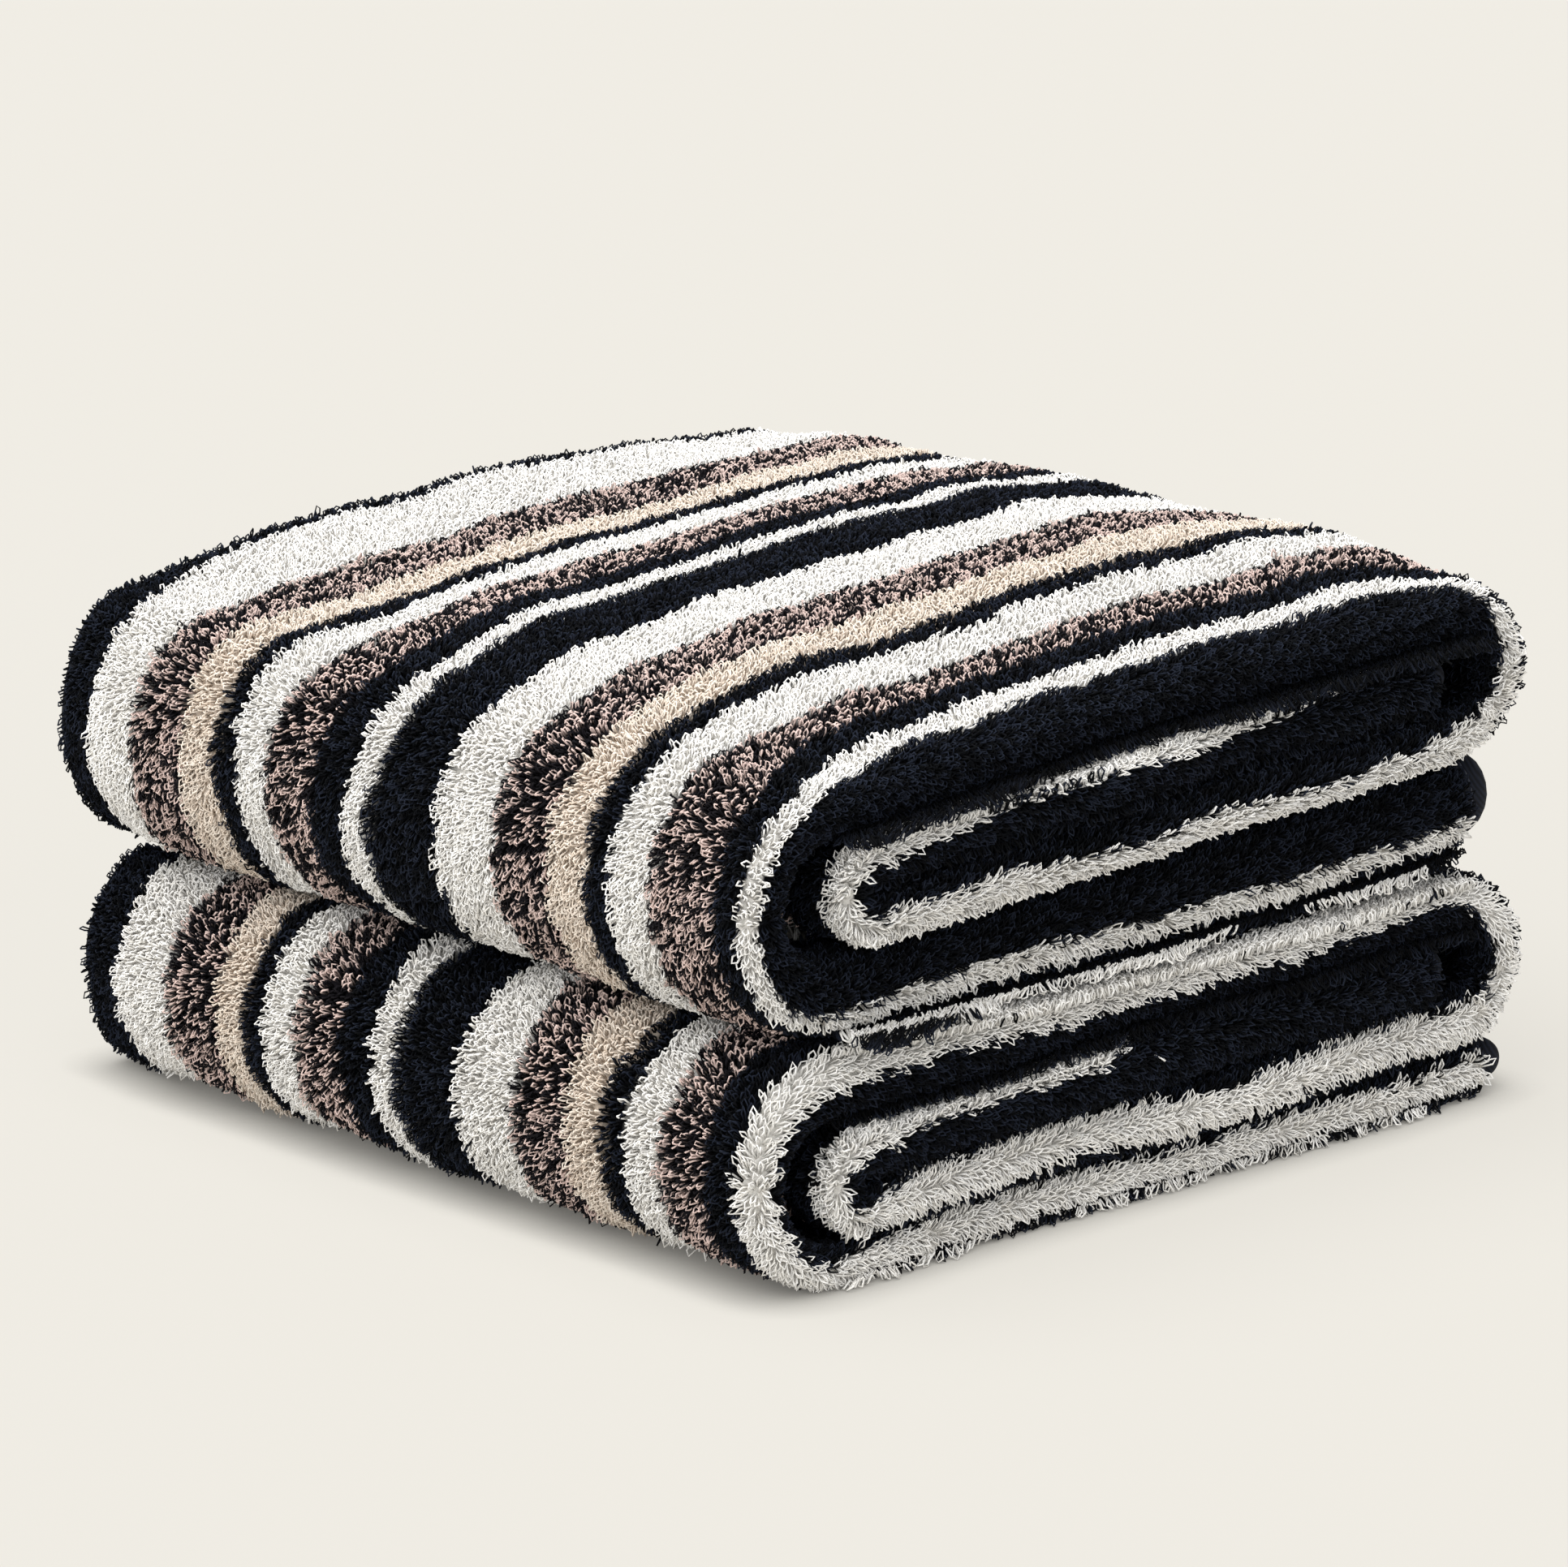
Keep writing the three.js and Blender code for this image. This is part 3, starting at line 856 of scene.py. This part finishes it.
def thread_material():
    """Twisted sewing thread, a little lighter and smoother than the hem."""
    material, nodes, links, shader = node_material("sewing_thread", roughness=0.55, specular=0.5)
    twist = texture(nodes, links, "Wave", Scale=900)
    two_tone(nodes, links, shader, twist, dark=(22, 26, 36), light=(46, 52, 68))
    return material


# ------------ towel pieces


def group_of(region):
    """The part of the towel that a region moves with."""
    return {"bottom_panel": "bottom", "front_fold": "front_fold"}.get(region, "flap")


def moves_like(cloth):
    """A rule that rides or bends a piece with its towel's bodies."""
    base, flap = f"{cloth.name}_base", f"{cloth.name}_flap"
    t = cloth.size
    low = float(level_at(t["lining_under"], t["front_y"]))
    high = float(level_at(t["top_under"], t["front_y"]))

    def rule(obj, region):
        part = group_of(region)
        if part == "front_fold":
            y = (t["front_y"] - t["front_reach"]) * MM
            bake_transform(obj, base, flap, start=(0, y, low * MM), end=(0, y, high * MM))
        else:
            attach(obj, base if part == "bottom" else flap)

    return rule


def positions(cloth, regions, spacing):
    """A column of path positions over whole regions, about spacing rows apart."""
    first, last = cloth.spans[regions[0]][0], cloth.spans[regions[-1]][1]
    return np.linspace(first, last, max(8, round((last - first) / spacing)))[:, None]


def ground_sheet(cloth, part, regions, material):
    """The woven ground of part of a towel: two plies joined round the doubled edge."""
    face_points, edge_points = 64, 25
    q = positions(cloth, regions, spacing=2.2)
    bend = cloth.bend_x(q)
    flat = np.linspace(0, 1, face_points)[None]
    arc = np.linspace(0, math.pi, edge_points)[None, 1:-1]
    x = np.concatenate([
        cloth.open_x + (bend - cloth.open_x) * flat, bend + 0 * arc,
        bend + (cloth.open_x - bend) * flat,
    ], axis=1)
    turn = np.concatenate([0 * flat, arc, math.pi + 0 * flat], axis=1) + 0 * q
    outside = cloth.place(q, x, turn, PILE_DEPTH)[0]
    inside = cloth.place(q, x, turn, PILE_DEPTH + GROUND_THICKNESS)[0]
    yarn = cloth.yarn(q + 0 * x, x, turn).ravel()
    base = np.array([srgb(YARN_COLOURS[name][1]) for name in YARNS]) * GROUND_SHADE
    obj = slab(f"{cloth.name}_{part}_cloth", outside, inside, base[yarn], material)
    return obj


def side_hem(cloth, part, regions, ply, material):
    """A turned hem along one ply's long edge, with softly rounded sides."""
    half_thick, overlap, squareness, corners = 2.1, 0.4, 0.6, 12
    q = positions(cloth, regions, spacing=2)
    angle = np.linspace(0, 2 * math.pi, corners + 1)[None, :-1]
    squared = np.sign(np.cos(angle)) * np.abs(np.cos(angle)) ** squareness
    half = SIDE_HEM_WIDTH / 2
    x = cloth.size["open_edge"] + half + (half + overlap) * squared
    depth = PILE_DEPTH + GROUND_THICKNESS / 2 - half_thick * np.sin(angle)
    turn = 0.0 if ply == "outer" else math.pi
    rings = cloth.place(q, x + 0 * q, turn + 0 * q, depth + 0 * q)[0]
    obj = swept(f"{cloth.name}_{part}_{ply}_side_hem", rings, material)
    return obj


def end_section(cloth, which):
    """Where an end hem starts and the levels that it lies between."""
    t = cloth.size
    if which == "bottom":
        return t["bottom_end"], t["underside"], t["lining_under"]
    return t["core_end"], t["top_under"], t["core_under"]


def end_hem_shell(cloth, which, y, thinner, steps=60):
    """Points round an end hem's section at y: outer ply, doubled edge, inner ply."""
    thickness_share, set_back, unevenness = 0.82, 4, 0.5
    _, outer_level, inner_level = end_section(cloth, which)
    outer, inner = float(level_at(outer_level, y)), float(level_at(inner_level, y))
    middle = (outer + inner) / 2
    half = abs(outer - inner) / 2 * thickness_share - thinner
    sign = 1 if outer > inner else -1
    bend = cloth.size["doubled_edge"] - set_back - abs(outer - inner) / 2
    flat = np.linspace(cloth.size["open_edge"], bend, steps)
    arc = np.linspace(0, math.pi, 11)[1:-1]
    x = np.concatenate([flat, bend + half * np.sin(arc), flat[::-1]])
    side = np.concatenate([0 * flat + 1, np.cos(arc), 0 * flat - 1])
    wobble = unevenness * cloth.crease(x, y) * side
    return np.stack([x, np.full_like(x, y), middle + sign * half * side + sign * wobble], -1)


def end_hem(cloth, which, material):
    """The sewn hem across a short end, rounded over at its tip, pinched by its stitches."""
    thickness, tip_thickness = 4.4, 1.2
    tip_pinch, tip_start, tip_length = 2.6, 0.55, 0.45      # the last two as shares of
    sewn_pinch, sewn_at, sewn_reach = 0.9, 0.3, 0.08        # the hem's width
    y_end = end_section(cloth, which)[0]
    outside, inside = [], []
    for p in np.linspace(0, 1, 9):
        y = y_end - END_HEM_WIDTH * (1 - p)
        rounded = tip_pinch * max(0.0, (p - tip_start) / tip_length) ** 2
        pinch = rounded + sewn_pinch * math.exp(-((p - sewn_at) / sewn_reach) ** 2)
        outside.append(end_hem_shell(cloth, which, y, pinch))
        inside.append(end_hem_shell(cloth, which, min(y, y_end - tip_thickness), thickness))
    outside, inside = np.array(outside), np.array(inside)
    blank = np.zeros((outside[..., 0].size, 3))
    obj = slab(f"{cloth.name}_{which}_end_hem", outside, inside, blank, material)
    return obj


def end_stitching(cloth, which, material):
    """A row of stitches round the hem: short raised tubes with a small gap between them."""
    stitch, spacing, sunk, corners = 2.7, 3.4, 0.55, 6
    shape = ((0.0, 0.12), (0.12, 0.4), (0.5, 0.5), (0.88, 0.4), (1.0, 0.12))  # (place, radius)
    y_end = end_section(cloth, which)[0]
    line = end_hem_shell(cloth, which, y_end - THREAD_INSET, sunk, 200)
    run = running_length(line)
    points, triangles = [], []
    angles = 2 * math.pi * np.arange(corners) / corners
    for number, start in enumerate(np.arange(2, run[-1] - 4, spacing)):
        places = [start + stitch * share for share, _ in shape]
        centres = np.stack([np.interp(places, run, line[:, k]) for k in range(3)], -1)
        along = unit(centres[-1] - centres[0])
        first = np.array([0, 1.0, 0])
        second = np.cross(along, first)
        for (_, radius), centre in zip(shape, centres):
            ring = np.cos(angles)[:, None] * first + np.sin(angles)[:, None] * second
            points.append(centre + ring * radius)
        index = point_numbers(len(shape), corners)
        triangles.append(tube_triangles(index + number * index.size))
    name = f"{cloth.name}_{which}_end_hem_stitching"
    obj = mesh_object(name, np.concatenate(points), np.concatenate(triangles), material)
    return obj


def pile_plan(cloth, region):
    """The patches of pile on a region, thick where they show and thin where they don't."""
    dense, sparse = SHOWN_DENSITY, HIDDEN_DENSITY
    if region == "back_fold":
        dense = BACK_FOLD_DENSITY
    shown = {"density": dense, "rings": FINE_RINGS}
    hidden = {"density": sparse, "rings": PLAIN_RINGS}
    doubled_edge = cloth.size["doubled_edge"]
    bend = doubled_edge - DOUBLED_BEND
    outer_start, inner_start = bend - OUTER_STRIP, bend - INNER_STRIP
    open_x = cloth.open_x
    is_top = region == "top_panel" and cloth.name == "upper"

    patches = [{"face": "edge", **shown}]
    if is_top or region in ("front_fold", "back_fold"):
        patches.append({"face": "outer", **shown})
    else:
        if region in ("bottom_panel", "lining_panel", "top_panel"):
            patches.append({"face": "outer", "band": (open_x, outer_start), **hidden})
        patches.append({"face": "outer", "band": (outer_start, doubled_edge), **shown})
    if region in ("bottom_panel", "front_fold"):
        patches.append({"face": "inner", **hidden})
    elif region != "inner_fold":
        patches.append({"face": "inner", "band": (inner_start, doubled_edge), **shown})
        patches.append({"face": "inner", "band": (open_x, open_x + OPEN_STRIP), **hidden})
    if region == "bottom_panel":
        end = {"band": (open_x, bend), "start": END_DEPTH, "inside": True}
        patches += [{"face": face, **end, **hidden} for face in ("outer", "inner")]
    if region not in ("inner_fold", "back_fold"):
        lining = {"band": (open_x, open_x + LINING_STRIP), "inside": True}
        patches += [{"face": face, **lining, **hidden} for face in ("outer", "inner")]
    return patches


def cad_nodes(cloth, part, ending=""):
    """The CAD lengths of cloth, or their hems, that a part of the towel stands for."""
    lengths = PARTS[part]
    if part == "front_fold":
        lengths = ("front_fold_bottom", "front_fold_top")
    return [f"{cloth.name}_{length}{ending}" for length in lengths]


def build_towel(name, materials):
    """Makes every piece of one towel, with what it replaces and how it moves."""
    cloth = Cloth(name)
    rule = moves_like(cloth)
    for part, regions in PARTS.items():
        sheet = ground_sheet(cloth, part, regions, materials["ground"])
        rule(sheet, regions[0])
        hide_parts(*cad_nodes(cloth, part))
        others = []
        for ply in ("outer", "inner"):
            hem = side_hem(cloth, part, regions, ply, materials["hem"])
            rule(hem, regions[0])
            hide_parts(*cad_nodes(cloth, part, f"_{ply}_side_hem"))
            others.append(hem)
        for region in regions:
            patches = [
                pile_patch(cloth, region, seed, **plan)
                for seed, plan in enumerate(pile_plan(cloth, region))
            ]
            others += pile_pieces(cloth, region, patches, materials["pile"], rule)
    for which, region in (("bottom", "bottom_panel"), ("core", "core_panel")):
        hem = end_hem(cloth, which, materials["hem"])
        rule(hem, region)
        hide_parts(f"{name}_{which}_end_hem")
        thread = end_stitching(cloth, which, materials["thread"])
        rule(thread, region)
        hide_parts(f"{name}_{which}_end_hem_stitching")


# ------------ camera and studio


def direction(azimuth, elevation):
    """A unit vector towards an azimuth, from the front round to the right, in degrees."""
    a, e = math.radians(azimuth), math.radians(elevation)
    return Vector((math.sin(a) * math.cos(e), -math.cos(a) * math.cos(e), math.sin(e)))


def look_at(obj, place, target):
    """Puts a camera or a light at place, turned to the target."""
    obj.location = place
    obj.rotation_mode = "QUATERNION"
    obj.rotation_quaternion = (Vector(target) - Vector(place)).to_track_quat("-Z", "Y")


def add_camera():
    """The photo's viewpoint: a long lens, a little above the stack's front right corner."""
    azimuth, elevation, distance = 47, 14.5, 2.45
    target = Vector((-0.047, 0.045, 0.088))
    camera = bpy.data.objects.new("camera", bpy.data.cameras.new("camera"))
    camera.data.lens, camera.data.sensor_width = 160, 36
    bpy.context.scene.collection.objects.link(camera)
    look_at(camera, target + direction(azimuth, elevation) * distance, target)
    bpy.context.scene.camera = camera


def add_sun(name, azimuth, elevation, strength, spread):
    """A light from far away. Its spread in degrees sets how soft its shadows are."""
    light = bpy.data.lights.new(name, "SUN")
    light.energy, light.angle = strength, math.radians(spread)
    obj = bpy.data.objects.new(name, light)
    bpy.context.scene.collection.objects.link(obj)
    look_at(obj, direction(azimuth, elevation), (0, 0, 0))


def add_floor():
    """A pale floor that gives light of its own, with a painted contact shadow: it gives less within reach of
    what stands on it.
    """
    half_width, contact_reach, samples = 20, 0.02, 8
    corners = [(-1, -1, 0), (1, -1, 0), (1, 1, 0), (-1, 1, 0)]
    mesh = bpy.data.meshes.new("floor")
    mesh.from_pydata([[half_width * v for v in corner] for corner in corners], [], [(0, 1, 2, 3)])
    floor = bpy.data.objects.new("floor", mesh)
    bpy.context.scene.collection.objects.link(floor)
    material, nodes, links, shader = node_material("pale_floor", roughness=0.9, specular=0.1)
    # painted contact shadow: ambient occlusion within contact_reach dims the light the floor gives off
    contact = nodes.new("ShaderNodeAmbientOcclusion")
    contact.samples = samples
    contact.inputs["Distance"].default_value = contact_reach
    glow = ranged(nodes, links, contact.outputs["AO"], low=0.1, high=0.765)
    links.new(glow, shader.inputs["Emission Strength"])
    shader.inputs["Base Color"].default_value = (*srgb((92, 91, 88)), 1)
    shader.inputs["Emission Color"].default_value = (*srgb((241, 237, 228)), 1)
    mesh.materials.append(material)


def add_studio():
    """Even light from all round, three soft lights, and the floor."""
    world = bpy.data.worlds.new("studio")
    bpy.context.scene.world = world
    world.use_nodes = True
    background = world.node_tree.nodes["Background"]
    background.inputs["Color"].default_value = (*srgb((236, 238, 241)), 1)
    background.inputs["Strength"].default_value = 0.45
    add_sun("overhead_softbox", azimuth=-30, elevation=72, strength=3.55, spread=60)
    add_sun("front_fill", azimuth=15, elevation=28, strength=1.5, spread=60)
    add_sun("side_fill", azimuth=80, elevation=16, strength=0.9, spread=50)
    add_floor()
    bpy.context.scene.view_settings.view_transform = "Standard"


add_camera()
add_studio()
materials = {
    "pile": pile_material(), "ground": ground_material(),
    "hem": hem_material(), "thread": thread_material(),
}
for towel in TOWELS:
    build_towel(towel, materials)
